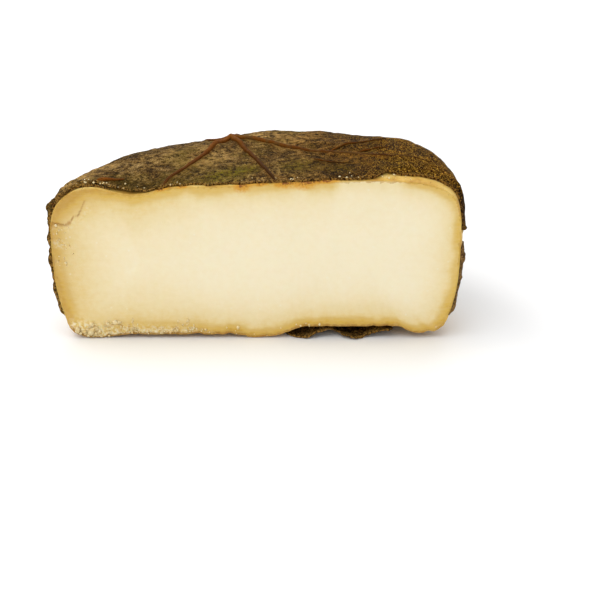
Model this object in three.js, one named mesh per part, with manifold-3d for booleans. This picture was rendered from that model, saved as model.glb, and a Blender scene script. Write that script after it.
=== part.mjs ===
// Half a wheel of pecorino wrapped in dried fig leaves, standing on its flat side. Millimetres, +Z up.
// The knife cut is the plane that faces -Y. The wheel's axis stands in that plane, at x = 0.
// The origin lies on the table, under the middle of the half wheel.
import * as THREE from 'three';
import { mergeVertices } from 'three/addons/utils/BufferGeometryUtils.js';
import Module from 'manifold-3d';

const wasm = await Module();
wasm.setup();

// Driving dimensions of the wheel
const RADIUS = 88;
const HEIGHT = 74.5;
const BELLY_HEIGHT = 38;          // height of the widest girth
const SHOULDER_POWER = 5.5;       // superellipse power above the girth
const FOOT_POWER = 18;            // and below it
const FOOT_LEAN = 0.08;           // share of the radius that the side leans in at the foot
const ORIGIN_BEHIND_CUT = 40;

// Unevenness of a hand-made wheel: share of the radius, number of lobes, phase
const ROUND_WAVES = [[0.044, 2, 0.4], [0.006, 3, 2.2], [0.004, 7, 0.4]];
const THICKER_ON_RIGHT = 2.4;     // rise of the top towards +X, over one radius
// Dents in the top, and rises where the depth is negative: x, y, depth, radius
const TOP_DENTS = [
  [-52, 0, 3.4, 13], [-75, -2, -2.7, 12], [-14, 0, 1.1, 20], [22, 40, 0.9, 24],
  [-42, 66, 3.4, 36], [76, 38, -4, 22], [40, 72, 2.4, 24], [-21, 70, 2.2, 19],
];
const FLAT_FOOT_SINK = 0.35;      // the foot is pressed flat on the table by this much

// How finely skin and leaves are divided
const COLUMNS = 60;               // round the whole wheel
const ROW_LENGTH = 8.5;           // down the outline, at most
const ROW_TURN = THREE.MathUtils.degToRad(16);

// The underside is lifted on the right, where a leaf is folded under it
const UNDER_LIFT = 2.2;
const UNDER_LIFT_STARTS_X = 3;
const UNDER_LIFT_FULL_X = 18;
// Arches in the underside near the cut: x of the middle, half length, rise, depth behind the cut
const CUT_ARCHES = [[42, 32, 3.4, 17], [-35, 36, 1.5, 14]];
const ARCH_STARTS_Y = 2;

// The leaves
const LEAF_THICKNESS = 0.75;
const GAP = 0.5;                  // between a leaf and what it lies on
const LEAF_STEP = LEAF_THICKNESS + GAP;
const CLEARANCE = 0.3;            // that a leaf's veins keep from the leaf over them
const CRUMPLE = 0.55;             // height of the waves that run through every leaf
const VEIN_FLATNESS = 0.6;        // a vein's height over half its width
const VEIN_STEP = 6.5;
const VEIN_TAPER = 0.65;

const smooth = (low, high, x) => THREE.MathUtils.smoothstep(x, low, high);
const bump = (x, half) => 1 - smooth(half * 0.6, half, Math.abs(x));
const rad = THREE.MathUtils.degToRad;

// The wheel's section at an angle from straight up: distance from the axis, and height over the girth
function sectionPoint(beta) {
  const upper = beta < Math.PI / 2;
  const power = upper ? SHOULDER_POWER : FOOT_POWER;
  const half = upper ? HEIGHT - BELLY_HEIGHT : BELLY_HEIGHT;
  const across = Math.abs(Math.sin(beta) / RADIUS) ** power;
  const along = Math.abs(Math.cos(beta) / half) ** power;
  const reach = (across + along) ** (-1 / power);
  const z = reach * Math.cos(beta);
  const lean = FOOT_LEAN * Math.min(0, z / BELLY_HEIGHT) ** 2;
  return { r: reach * Math.sin(beta) * (1 - lean), z };
}

// Length of the section's outline from the top's centre, and how far the outline has turned there
const OUTLINE_STEPS = 720;
const outline = [{ s: 0, ...sectionPoint(0), turn: 0 }];
for (let i = 1; i <= OUTLINE_STEPS; i++) {
  const beta = i * Math.PI / OUTLINE_STEPS;
  const before = outline[i - 1];
  const { r, z } = sectionPoint(beta);
  const turn = Math.atan2(before.z - z, r - before.r);
  outline.push({ s: before.s + Math.hypot(r - before.r, z - before.z), r, z, turn });
}
const FULL_LENGTH = outline[OUTLINE_STEPS].s;

// Lengths at which skin and leaves are divided: closer together where the outline turns
const rows = [0];
let turned = 0;
for (const { s, turn } of outline) {
  if (s - rows.at(-1) > ROW_LENGTH || turn - turned > ROW_TURN) {
    rows.push(s);
    turned = turn;
  }
}

// Angle from straight up of the outline's point at length s
function angleAt(s) {
  const wanted = THREE.MathUtils.clamp(s, 0, FULL_LENGTH);
  let low = 0, high = OUTLINE_STEPS;
  while (high - low > 1) {
    const middle = (low + high) >> 1;
    if (outline[middle].s <= wanted) low = middle;
    else high = middle;
  }
  const share = (wanted - outline[low].s) / (outline[high].s - outline[low].s);
  return (low + share) * Math.PI / OUTLINE_STEPS;
}

function roundness(phi) {
  return ROUND_WAVES.reduce((sum, [share, lobes, phase]) => sum + share * Math.sin(lobes * phi + phase), 1);
}

// Height of the underside above the table
function underside(x, y) {
  const right = smooth(UNDER_LIFT_STARTS_X, UNDER_LIFT_FULL_X, x - 0.25 * y);
  return CUT_ARCHES.reduce((sum, [middle, half, rise, depth]) => (
    sum + rise * bump(x - middle, half) * (1 - smooth(ARCH_STARTS_Y, depth, y))
  ), UNDER_LIFT * right);
}

// A point of the cheese's skin: s runs down its outline from the top's centre, phi round the axis from +X
function cheeseSkin(s, phi) {
  const section = sectionPoint(angleAt(s));
  const r = section.r * roundness(phi);
  const [x, y] = [r * Math.cos(phi), r * Math.sin(phi)];
  let z = BELLY_HEIGHT + section.z - FLAT_FOOT_SINK;
  const high = smooth(BELLY_HEIGHT, HEIGHT - 6, z);
  z += high * THICKER_ON_RIGHT * x / RADIUS;
  for (const [dx, dy, depth, radius] of TOP_DENTS) {
    z -= high * depth * Math.exp(-((x - dx) ** 2 + (y - dy) ** 2) / radius ** 2);
  }
  const low = 1 - smooth(0, BELLY_HEIGHT * 0.6, z);
  return new THREE.Vector3(x, y, Math.max(0, z) + low * underside(x, y));
}

// The waves that all leaves share, so that one leaf fits over the next
function crumple(s, phi) {
  const [u, v] = [s * Math.cos(phi), s * Math.sin(phi)];
  const wave = Math.sin(u / 9.5 + 1.3 * Math.sin(v / 17)) * Math.sin(v / 8.3 + 0.9 * Math.sin(u / 13));
  const pleat = smooth(60, 100, s) * Math.sin(13 * phi + 0.8 * Math.sin(s / 11));
  return CRUMPLE * (0.5 + 0.25 * wave + 0.25 * pleat);
}

// Flat leaf coordinates in millimetres, spread over the top from its centre, or round the side
const GIRTH_S = 118;              // outline length at the middle of the side
const overTop = {
  onWheel: (u, v) => ({ s: Math.hypot(u, v), phi: Math.atan2(v, u) }),
  onLeaf: (s, phi) => [s * Math.cos(phi), s * Math.sin(phi)],
};
const roundSide = (phiMiddle) => ({
  onWheel: (u, v) => ({ s: GIRTH_S - v, phi: phiMiddle + u / RADIUS }),
  onLeaf: (s, phi) => [(phi - phiMiddle) * RADIUS, GIRTH_S - s],
});

// A point at a height above the skin, where flat coordinates (u, v) lie
function above(spread, u, v, height) {
  const point = (a, b) => {
    const { s, phi } = spread.onWheel(a, b);
    return cheeseSkin(s, phi);
  };
  const e = 0.5;
  const du = point(u + e, v).sub(point(u - e, v));
  const dv = point(u, v + e).sub(point(u, v - e));
  return point(u, v).addScaledVector(du.cross(dv).normalize(), height);
}

// Length of a lobed leaf from its vein junction, in a direction from its middle vein.
// A lobe is its angle in degrees, its length and its half width in degrees.
function leafReach(lobes, angle) {
  const power = 6;
  const sum = lobes.reduce((total, [at, length, width]) => {
    const off = Math.atan2(Math.sin(angle - rad(at)), Math.cos(angle - rad(at)));
    return total + (length * Math.exp(-((off / rad(width)) ** 2) / 2)) ** power;
  }, 0);
  return sum ** (1 / power);
}

function solidOf(geometry) {
  const bare = geometry.clone();
  for (const name of ['normal', 'uv']) bare.deleteAttribute(name);
  const merged = mergeVertices(bare, 1e-4);
  return new wasm.Manifold(new wasm.Mesh({
    numProp: 3,
    vertProperties: new Float32Array(merged.attributes.position.array),
    triVerts: new Uint32Array(merged.index.array),
  }));
}

function geometryOf(solid) {
  const { vertProperties, triVerts } = solid.getMesh();
  const geometry = new THREE.BufferGeometry();
  geometry.setAttribute('position', new THREE.BufferAttribute(new Float32Array(vertProperties), 3));
  geometry.setIndex(new THREE.BufferAttribute(new Uint32Array(triVerts), 1));
  geometry.computeVertexNormals();
  return geometry;
}

function meshFrom(points, triangles) {
  const geometry = new THREE.BufferGeometry().setFromPoints(points);
  geometry.setIndex(triangles.flat());
  return solidOf(geometry);
}

// How far inside the leaf's edge a flat point lies
function insideLeaf({ junction, heading, lobes, margin = 0 }, [u, v]) {
  const [du, dv] = [u - junction[0], v - junction[1]];
  return leafReach(lobes, Math.atan2(dv, du) - heading) + margin - Math.hypot(du, dv);
}

// Where the leaf's edge crosses a grid line between a point inside and one outside.
// A crossing close to either end is moved there, so that no sliver is left.
function crossing(spec, inside, outside) {
  let [low, high] = [0, 1];
  for (let i = 0; i < 20; i++) {
    const middle = (low + high) / 2;
    const at = inside.map((value, axis) => THREE.MathUtils.lerp(value, outside[axis], middle));
    if (insideLeaf(spec, at) > 0) low = middle;
    else high = middle;
  }
  if (low < 0.12) return inside;
  if (low > 0.88) return outside;
  return inside.map((value, axis) => THREE.MathUtils.lerp(value, outside[axis], low));
}

// The part of one grid triangle that the leaf covers
function clipped(spec, corners) {
  const kept = [];
  corners.forEach((corner, i) => {
    const next = corners[(i + 1) % 3];
    const [here, there] = [corner, next].map((point) => insideLeaf(spec, point) > 0);
    if (here) kept.push(corner);
    if (here && !there) kept.push(crossing(spec, corner, next));
    if (!here && there) kept.push(crossing(spec, next, corner));
  });
  const apart = (p, q) => Math.hypot(p[0] - q[0], p[1] - q[1]) > 1e-6;
  return kept.filter((point, i) => apart(point, kept[(i + 1) % kept.length]));
}

// Two alike faces of a leaf, one above the other, joined round the rim. cells are the grid's squares, with
// corners counter-clockwise, and place(u, v, height) puts a point of the flat leaf in space.
function lamina(spec, cells, place) {
  const flat = cells.flatMap(([a, b, c, d]) => [[a, b, c], [a, c, d]])
    .map((corners) => clipped(spec, corners))
    .filter((polygon) => polygon.length > 2)
    .flatMap((polygon) => polygon.slice(2).map((point, i) => [polygon[0], polygon[i + 1], point]));
  const key = ([u, v]) => `${u.toFixed(4)} ${v.toFixed(4)}`;
  const edges = new Map();
  for (const triangle of flat) {
    triangle.forEach((from, i) => {
      const to = triangle[(i + 1) % 3];
      edges.set(`${key(from)}|${key(to)}`, [from, to]);
    });
  }
  const low = ([u, v]) => place(u, v, 0);
  const high = ([u, v]) => place(u, v, LEAF_THICKNESS);
  const corners = flat.flatMap(([a, b, c]) => [high(a), high(b), high(c), low(a), low(c), low(b)]);
  for (const [from, to] of edges.values()) {
    if (edges.has(`${key(to)}|${key(from)}`)) continue;
    corners.push(high(from), low(from), low(to), high(from), low(to), high(to));
  }
  return solidOf(new THREE.BufferGeometry().setFromPoints(corners));
}

// A tapered rib along a vein, its foot sunk in the leaf. A vein is its direction in degrees from the middle
// vein, its length, its bend in degrees at its tip, and its width at its root.
function rib({ junction, heading }, [direction, length, bend, width], place) {
  const steps = Math.ceil(length / VEIN_STEP);
  const points = [];
  const triangles = [];
  for (let step = 0; step <= steps; step++) {
    const share = step / steps;
    const angle = heading + rad(direction + bend * share * share);
    const half = width / 2 * (1 - VEIN_TAPER * share);
    const crest = LEAF_THICKNESS + VEIN_FLATNESS * half;
    const foot = LEAF_THICKNESS * 0.6;
    for (const [aside, height] of [[-half, foot], [half, foot], [0.5 * half, crest], [-0.5 * half, crest]]) {
      const u = junction[0] + length * share * Math.cos(angle) - aside * Math.sin(angle);
      const v = junction[1] + length * share * Math.sin(angle) + aside * Math.cos(angle);
      points.push(place(u, v, height));
    }
  }
  const last = steps * 4;
  for (let side = 0; side < 4; side++) {
    const next = (side + 1) % 4;
    for (let step = 0; step < steps; step++) {
      const [a, b] = [step * 4 + side, step * 4 + next];
      triangles.push([a, b, a + 4], [b, b + 4, a + 4]);
    }
  }
  triangles.push([0, 2, 1], [0, 3, 2], [last, last + 1, last + 2], [last, last + 2, last + 3]);
  const made = meshFrom(points, triangles);
  return made.volume() > 0 ? made : meshFrom(points, triangles.map(([a, b, c]) => [a, c, b]));
}

// Everything in front of the knife's plane is cut away
const behindKnife = (() => {
  const box = new THREE.BoxGeometry(400, 200, 300);
  box.translate(0, 100, 0);
  return solidOf(box);
})();

// Over the right shoulder the leaves end short of the cut, and the rind is bare
const BARE_FROM_X = 62;
const BARE_LENGTH = 40;
const BARE_DEPTH = 6;
const BARE_ABOVE_Z = 50;
const bareShoulder = (() => {
  const box = new THREE.BoxGeometry(BARE_LENGTH, 2 * BARE_DEPTH, HEIGHT);
  box.translate(BARE_FROM_X + BARE_LENGTH / 2, 0, BARE_ABOVE_Z + HEIGHT / 2);
  return solidOf(box);
})();

// solid is the leaf, and room is what leaves beneath it keep out of
function leaf(spec, cells, place) {
  let made = lamina(spec, cells, place);
  for (const vein of spec.veins) made = made.add(rib(spec, vein, place));
  const solid = largest(made.intersect(behindKnife).subtract(bareShoulder));
  const room = lamina({ ...spec, margin: CLEARANCE }, cells, (u, v, height) => place(u, v, height || -CLEARANCE));
  return { solid, room };
}

function largest(solid) {
  return solid.decompose().sort((a, b) => b.volume() - a.volume())[0];
}

// A leaf on the skin. beneath(s, phi) is the number of leaves it lies on there.
function wrappedLeaf(spec) {
  const place = (u, v, height) => {
    const { s, phi } = spec.spread.onWheel(u, v);
    const rise = GAP + crumple(s, phi) + LEAF_STEP * spec.beneath(s, phi);
    return above(spec.spread, u, v, rise + height);
  };
  const cells = [];
  const column = 2 * Math.PI / COLUMNS;
  for (let i = 1; i < rows.length; i++) {
    for (let j = -2; j < COLUMNS / 2 + 2; j++) {
      const corner = (row, step) => spec.spread.onLeaf(rows[row], (j + step) * column);
      const square = [corner(i - 1, 0), corner(i, 0), corner(i, 1), corner(i - 1, 1)];
      cells.push(square);
    }
  }
  return leaf(spec, cells, place);
}

// The leaf folded under the wheel's right half lies on the table
const TABLE_CELL = 6;
function tableLeaf(spec) {
  const place = (u, v, height) => {
    const room = underside(u, v) - LEAF_THICKNESS - 2 * GAP;
    const fold = 0.5 + 0.5 * Math.sin(u / 4.1 + 0.7 * Math.sin(v / 6));
    return new THREE.Vector3(u, v, Math.max(0, room) * fold * 0.9 + height);
  };
  const cells = [];
  for (let u = 0; u < RADIUS; u += TABLE_CELL) {
    for (let v = -TABLE_CELL; v < RADIUS; v += TABLE_CELL) {
      cells.push([[0, 0], [1, 0], [1, 1], [0, 1]].map(([a, b]) => [u + a * TABLE_CELL, v + b * TABLE_CELL]));
    }
  }
  return leaf(spec, cells, place);
}

// The side leaves overlap at these angles, over this half width
const OVERLAP_AT = [rad(52), rad(128)];
const OVERLAP_HALF = rad(24);
const overlaps = (phi) => OVERLAP_AT.reduce((sum, at) => sum + bump(phi - at, OVERLAP_HALF), 0);
const TOP_LIFTS_FROM = 42;
const TOP_LIFTED_AT = 54;

const SIDE_LOBES = [
  [0, 66, 30], [44, 74, 28], [-44, 74, 28], [92, 66, 24], [-92, 66, 24], [180, 18, 70],
  [126, 36, 18], [-126, 36, 18],
];
const SIDE_VEINS = [[3, 40, 3, 2.6], [43, 50, 4, 2.2], [-43, 50, -4, 2.2], [74, 52, 16, 1.8], [-76, 50, -14, 1.8]];
const side = (phiMiddle, rest) => wrappedLeaf({
  spread: roundSide(rad(phiMiddle)),
  lobes: SIDE_LOBES,
  veins: SIDE_VEINS,
  beneath: () => 0,
  ...rest,
});

const top = wrappedLeaf({
  spread: overTop,
  junction: [-12, 64],
  heading: rad(-72),
  lobes: [
    [0, 128, 26], [41, 130, 26], [-44, 122, 26], [88, 92, 26], [-84, 108, 26],
    [140, 56, 30], [-138, 62, 30], [180, 40, 30],
  ],
  veins: [
    [-0.7, 100, 2.5, 3.0], [31, 98, 13, 2.8], [-44, 100, 8, 2.8], [150, 36, 0, 2.0], [-150, 36, 0, 2.0],
  ],
  beneath: (s, phi) => smooth(TOP_LIFTS_FROM, TOP_LIFTED_AT, s) * (1 + overlaps(phi)),
});
const left = side(156, { junction: [4, -6], heading: rad(98) });
const right = side(22, { junction: [-6, -5], heading: rad(82) });
const back = side(90, { junction: [3, -7], heading: rad(88), beneath: (s, phi) => overlaps(phi) });
const under = tableLeaf({
  junction: [50, 34],
  heading: rad(222),
  lobes: [[0, 48, 28], [48, 44, 26], [-48, 30, 26], [100, 30, 26], [-100, 34, 26], [180, 16, 40]],
  veins: [],
});
const LEAVES = {
  leaf_top: top.solid,
  leaf_left: largest(left.solid.subtract(top.room).subtract(back.room)),
  leaf_right: largest(right.solid.subtract(top.room).subtract(back.room)),
  leaf_back: largest(back.solid.subtract(top.room)),
  leaf_under: under.solid,
};

// The cheese itself: the whole wheel's skin, with the front half cut away
function cheeseSolid() {
  const points = [cheeseSkin(0, 0)];
  const round = rows.slice(1);
  for (const s of round) {
    for (let j = 0; j < COLUMNS; j++) points.push(cheeseSkin(s, j * 2 * Math.PI / COLUMNS));
  }
  points.push(cheeseSkin(FULL_LENGTH, 0));
  const at = (i, j) => 1 + i * COLUMNS + j % COLUMNS;
  const last = points.length - 1;
  const triangles = [];
  for (let j = 0; j < COLUMNS; j++) {
    triangles.push([0, at(0, j), at(0, j + 1)]);
    triangles.push([last, at(round.length - 1, j + 1), at(round.length - 1, j)]);
    for (let i = 0; i < round.length - 1; i++) {
      const [a, b, c, d] = [at(i, j), at(i + 1, j), at(i + 1, j + 1), at(i, j + 1)];
      triangles.push([a, b, c], [a, c, d]);
    }
  }
  return meshFrom(points, triangles).intersect(behindKnife);
}

// A crack that runs in from the left edge of the cut face
const CRACK_PATH = [[-92, 55], [-82.5, 55], [-80.5, 56.5], [-76.5, 59.5], [-73, 65]];
const CRACK_WIDTH = 0.9;
const CRACK_DEPTH = 3.5;
function crack() {
  const shape = new THREE.Shape();
  const spine = CRACK_PATH.map(([x, z]) => new THREE.Vector2(x, z));
  const width = (i) => CRACK_WIDTH / 2 * (1 - i / (spine.length - 0.5));
  spine.forEach((p, i) => (i ? shape.lineTo(p.x, p.y + width(i)) : shape.moveTo(p.x, p.y + width(i))));
  [...spine].reverse().forEach((p, i) => shape.lineTo(p.x, p.y - width(spine.length - 1 - i)));
  const cut = new THREE.ExtrudeGeometry(shape, { depth: CRACK_DEPTH + 1, bevelEnabled: false, steps: 1 });
  cut.rotateX(Math.PI / 2);
  cut.translate(0, CRACK_DEPTH, 0);
  return solidOf(cut);
}

// Crumbs pressed on the cut face, along the foot and below the crack: x, z, radius
const CRUMB_ROWS = [
  { count: 12, from: [-82, 4.2], to: [-36, 3.2], spread: 1.6, radius: [0.9, 1.9] },
  { count: 6, from: [-86, 49], to: [-82, 36], spread: 1.8, radius: [0.8, 1.6] },
];
let seed = 7;
function random() {
  seed = (seed * 16807) % 2147483647;
  return seed / 2147483647;
}
function crumbs() {
  return CRUMB_ROWS.flatMap(({ count, from, to, spread, radius }) => Array.from({ length: count }, (_, i) => {
    const share = (i + random()) / count;
    const lump = new THREE.IcosahedronGeometry(THREE.MathUtils.lerp(...radius, random()), 0);
    lump.rotateY(random() * Math.PI);
    lump.translate(
      THREE.MathUtils.lerp(from[0], to[0], share),
      0.2,
      THREE.MathUtils.lerp(from[1], to[1], share) + spread * (random() - 0.5),
    );
    return solidOf(lump);
  }));
}

const MATERIALS = {
  paste: new THREE.MeshStandardMaterial({ color: 0xf2e6c4, roughness: 0.55, metalness: 0 }),
  leaf: new THREE.MeshStandardMaterial({ color: 0x6b5530, roughness: 0.7, metalness: 0 }),
};

const halfWheel = new THREE.Group();
halfWheel.position.y = -ORIGIN_BEHIND_CUT;

function addPiece(name, solid, material) {
  const mesh = new THREE.Mesh(geometryOf(solid), material);
  mesh.name = name;
  halfWheel.add(mesh);
}

const cheese = crumbs().reduce((body, lump) => body.add(lump), cheeseSolid().subtract(crack()));
addPiece('cheese', cheese, MATERIALS.paste);
for (const [name, solid] of Object.entries(LEAVES)) addPiece(name, solid, MATERIALS.leaf);

const root = new THREE.Group();
root.add(halfWheel);
export default root;
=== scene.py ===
"""The looks of half a leaf-wrapped pecorino: cut paste, rind, dried leaves with their veins, and crumbs.

Shapes are worked out in millimetres in the wheel's own frame, where the knife's plane is y = 0 and the
wheel's axis stands at x = 0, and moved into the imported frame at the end.
"""
import math

import bpy
import numpy as np
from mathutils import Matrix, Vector


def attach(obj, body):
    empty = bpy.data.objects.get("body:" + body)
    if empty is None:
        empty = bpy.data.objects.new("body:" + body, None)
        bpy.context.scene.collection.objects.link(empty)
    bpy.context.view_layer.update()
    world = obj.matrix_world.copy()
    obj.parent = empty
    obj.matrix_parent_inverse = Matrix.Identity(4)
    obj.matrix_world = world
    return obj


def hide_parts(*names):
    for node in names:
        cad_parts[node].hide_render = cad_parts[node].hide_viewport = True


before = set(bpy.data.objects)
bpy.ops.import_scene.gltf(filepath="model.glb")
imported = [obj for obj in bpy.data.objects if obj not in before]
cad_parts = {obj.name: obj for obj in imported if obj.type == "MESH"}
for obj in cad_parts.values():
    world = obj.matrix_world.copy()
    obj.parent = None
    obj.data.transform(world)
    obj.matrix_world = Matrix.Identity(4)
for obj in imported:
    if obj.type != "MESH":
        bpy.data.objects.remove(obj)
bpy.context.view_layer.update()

# Sizes of the wheel, as in the solids
RADIUS = 88.0
HEIGHT = 74.5
BELLY_HEIGHT = 38.0
SHOULDER_POWER = 5.5
FOOT_POWER = 18.0
FOOT_LEAN = 0.08
ORIGIN_BEHIND_CUT = 40.0
ROUND_WAVES = [(0.044, 2, 0.4), (0.006, 3, 2.2), (0.004, 7, 0.4)]
THICKER_ON_RIGHT = 2.4
TOP_DENTS = [
    (-52, 0, 3.4, 13), (-75, -2, -2.7, 12), (-14, 0, 1.1, 20), (22, 40, 0.9, 24),
    (-42, 66, 3.4, 36), (76, 38, -4, 22), (40, 72, 2.4, 24), (-21, 70, 2.2, 19),
]
FLAT_FOOT_SINK = 0.35
UNDER_LIFT = 2.2
UNDER_LIFT_X = (3, 18)
CUT_ARCHES = [(42, 32, 3.4, 17), (-35, 36, 1.5, 14)]
ARCH_STARTS_Y = 2

# Sizes of the leaves, as in the solids
LEAF_THICKNESS = 0.75
GAP = 0.5
LEAF_STEP = LEAF_THICKNESS + GAP
CRUMPLE = 0.55
GIRTH_S = 118.0
OVERLAP_AT = (math.radians(52), math.radians(128))
OVERLAP_HALF = math.radians(24)
TOP_LIFTS = (42, 54)

# Crack in the cut face: x and z of its bends
CRACK_PATH = [(-92, 55), (-82.5, 55), (-80.5, 56.5), (-76.5, 59.5), (-73, 65)]

# Burnt places of the rind along the top of the face: x, half width and depth
BURNT = [
    (-40, 3, 0.8), (-31, 2, 0.8), (-5, 3.2, 2.6), (3, 3, 0.9), (13, 4, 2.0), (22, 4.5, 2.8), (31, 5, 0.9),
]

# How the leaves end at the cut
HUG = 0.12  # share of the gap under a leaf that is left at the cut
HUG_DEPTH = 6.0  # how far behind the cut the gap is full again
SET_BACK = 0.9  # the top leaf ends this far behind the cut, so that the rind shows
SET_BACK_WAVE = 0.9
BARE_FROM_X = 62  # over the right shoulder the leaves end further back
BARE_DEPTH = 6
BARE_ABOVE_Z = 50
HIDDEN_DEPTH = 4.5  # the side leaf ends this much further back, under the top leaf

# Moss-green places on the top leaf: x, y, radius
MOSS = [(-17, 7, 8), (-10, 10, 7), (20, 17, 9), (-3, 16, 5), (38, 12, 6), (62, 12, 7), (52, 62, 9)]
# and pale dry ones
DRY = [
    (16, 54, 12), (-24, 32, 15), (-2, 66, 9), (-77, 9, 8),
    (-76, 22, 8), (-66, 28, 6), (44, 24, 6), (2, 60, 5),
]
# and dark damp ones
DARK = [
    (-66, 13, 7), (-56, 4, 7), (-47, 3, 6), (-40, 2, 5), (66, 14, 12), (34, 8, 6), (70, 34, 9), (52, 6, 6),
]

# Relief of the leaves in the looks alone: heights and half widths
EDGE_WANDER = 1.3
MAIN_RIDGE = 0.45
MAIN_RIDGE_HALF = 2.2
FINE_RIDGE = 0.28
FINE_RIDGE_HALF = 0.75
FELT_RELIEF = 0.09
ROLL_HALF = 1.8
MARGIN = 3
MARGIN_THINNING = 0.4
KNOT = 0.9
KNOT_HALF = 3.5
SHOULDER_KNOBS = 1.6
# and the round cords of the veins
CORD_SIDES = 12
CORD_SUNK = 0.25  # share of the half width

SEED = 11
LATTICE_SIZE = 32
FAN_RADIUS = 22.0  # where the streaks of a leaf are as wide as their noise


# Small mathematics

def smooth(low, high, x):
    t = np.clip((x - low) / (high - low), 0, 1)
    return t * t * (3 - 2 * t)


def bump(x, half):
    return 1 - smooth(half * 0.6, half, np.abs(x))


join = np.concatenate


def unit(vectors):
    return vectors / np.maximum(np.linalg.norm(vectors, axis=-1, keepdims=True), 1e-12)


def in_space(x, y=0.0, z=0.0):
    """Points from their coordinates."""
    return np.stack(np.broadcast_arrays(x, y, z), -1)


LATTICE = np.random.default_rng(SEED).random((LATTICE_SIZE,) * 3) * 2 - 1


def noise(points, size, shift=0.0):
    """Smooth noise from -1 to 1 at 3-D points, with lumps of about the given size."""
    p = np.asarray(points) / size + shift
    cell = np.floor(p).astype(int)
    t = p - cell
    t = t * t * (3 - 2 * t)
    total = 0.0
    for corner in np.ndindex(2, 2, 2):
        index = (cell + corner) % LATTICE_SIZE
        weight = np.prod(np.where(np.array(corner) == 1, t, 1 - t), axis=-1)
        total = total + weight * LATTICE[index[..., 0], index[..., 1], index[..., 2]]
    return total


def layered(points, size, layers, shift=0.0):
    """Noise with finer and weaker noise added."""
    return sum(noise(points, size / 2 ** i, shift + 7.3 * i) / 1.8 ** i for i in range(layers))


def distance_to_path(points, path):
    """Distance of 2-D points from a bent line, and the share of its length at the nearest place."""
    path = np.asarray(path, float)
    lengths = np.linalg.norm(np.diff(path, axis=0), axis=1)
    before = join([[0], np.cumsum(lengths)])
    best = np.full(points.shape[:-1], 1e9)
    share = np.zeros(points.shape[:-1])
    for i, (a, b) in enumerate(zip(path[:-1], path[1:])):
        t = np.clip(((points - a) @ (b - a)) / max(lengths[i] ** 2, 1e-9), 0, 1)
        d = np.linalg.norm(points - a - t[..., None] * (b - a), axis=-1)
        nearer = d < best
        best = np.where(nearer, d, best)
        share = np.where(nearer, (before[i] + t * lengths[i]) / before[-1], share)
    return best, share


# The wheel's skin

def section_point(beta):
    """The wheel's section at an angle from straight up: distance from the axis, height over the girth."""
    upper = beta < math.pi / 2
    power = np.where(upper, SHOULDER_POWER, FOOT_POWER)
    half = np.where(upper, HEIGHT - BELLY_HEIGHT, BELLY_HEIGHT)
    across = np.abs(np.sin(beta) / RADIUS) ** power
    along = np.abs(np.cos(beta) / half) ** power
    reach = (across + along) ** (-1 / power)
    z = reach * np.cos(beta)
    lean = FOOT_LEAN * np.minimum(0, z / BELLY_HEIGHT) ** 2
    return reach * np.sin(beta) * (1 - lean), z


TABLE_BETA = np.linspace(0, math.pi, 2881)
TABLE_R, TABLE_Z = section_point(TABLE_BETA)
TABLE_S = join([[0], np.cumsum(np.hypot(np.diff(TABLE_R), np.diff(TABLE_Z)))])
FULL_LENGTH = TABLE_S[-1]


def underside(x, y):
    right = smooth(*UNDER_LIFT_X, x - 0.25 * y)
    rise = UNDER_LIFT * right
    for middle, half, height, depth in CUT_ARCHES:
        rise = rise + height * bump(x - middle, half) * (1 - smooth(ARCH_STARTS_Y, depth, y))
    return rise


def skin(s, phi):
    """A point of the skin: s runs down the outline from the top's centre, phi round the axis from +X."""
    section_r, section_z = section_point(np.interp(s, TABLE_S, TABLE_BETA))
    roundness = 1 + sum(share * np.sin(lobes * phi + phase) for share, lobes, phase in ROUND_WAVES)
    r = section_r * roundness
    x, y = r * np.cos(phi), r * np.sin(phi)
    z = BELLY_HEIGHT + section_z - FLAT_FOOT_SINK
    high = smooth(BELLY_HEIGHT, HEIGHT - 6, z)
    z = z + high * THICKER_ON_RIGHT * x / RADIUS
    for dent_x, dent_y, depth, radius in TOP_DENTS:
        z = z - high * depth * np.exp(-((x - dent_x) ** 2 + (y - dent_y) ** 2) / radius ** 2)
    low = 1 - smooth(0, BELLY_HEIGHT * 0.6, z)
    return in_space(x, y, np.maximum(0, z) + low * underside(x, y))


def skin_normal(s, phi):
    """Outward direction of the skin."""
    e = 0.4
    low, high = np.maximum(s - e, 0.01), np.minimum(s + e, FULL_LENGTH - 0.01)
    down = skin(high, phi) - skin(low, phi)
    return unit(np.cross(down, skin(s, phi + e / RADIUS) - skin(s, phi - e / RADIUS)))


def over_top(u, v):
    """Places on the skin of flat leaf coordinates spread over the top from its centre."""
    return np.hypot(u, v), np.arctan2(v, u)


def round_side(middle):
    """The same for flat coordinates laid round the side, u to the left as seen from outside."""
    return lambda u, v: (GIRTH_S - v, math.radians(middle) + u / RADIUS)


def above(spread, u, v, height):
    """Points at a height above the skin, where flat coordinates (u, v) lie."""
    def at(a, b):
        return skin(*spread(a, b))
    e = 0.5
    normal = unit(np.cross(at(u + e, v) - at(u - e, v), at(u, v + e) - at(u, v - e)))
    return at(u, v) + normal * np.asarray(height)[..., None]


# Meshes

def to_frame(points):
    """Wheel millimetres as frame metres. Nothing reaches below the table."""
    points = np.array(points, float)
    points[:, 2] = np.maximum(points[:, 2], 0)
    return (points - [0, ORIGIN_BEHIND_CUT, 0]) / 1000


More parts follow.
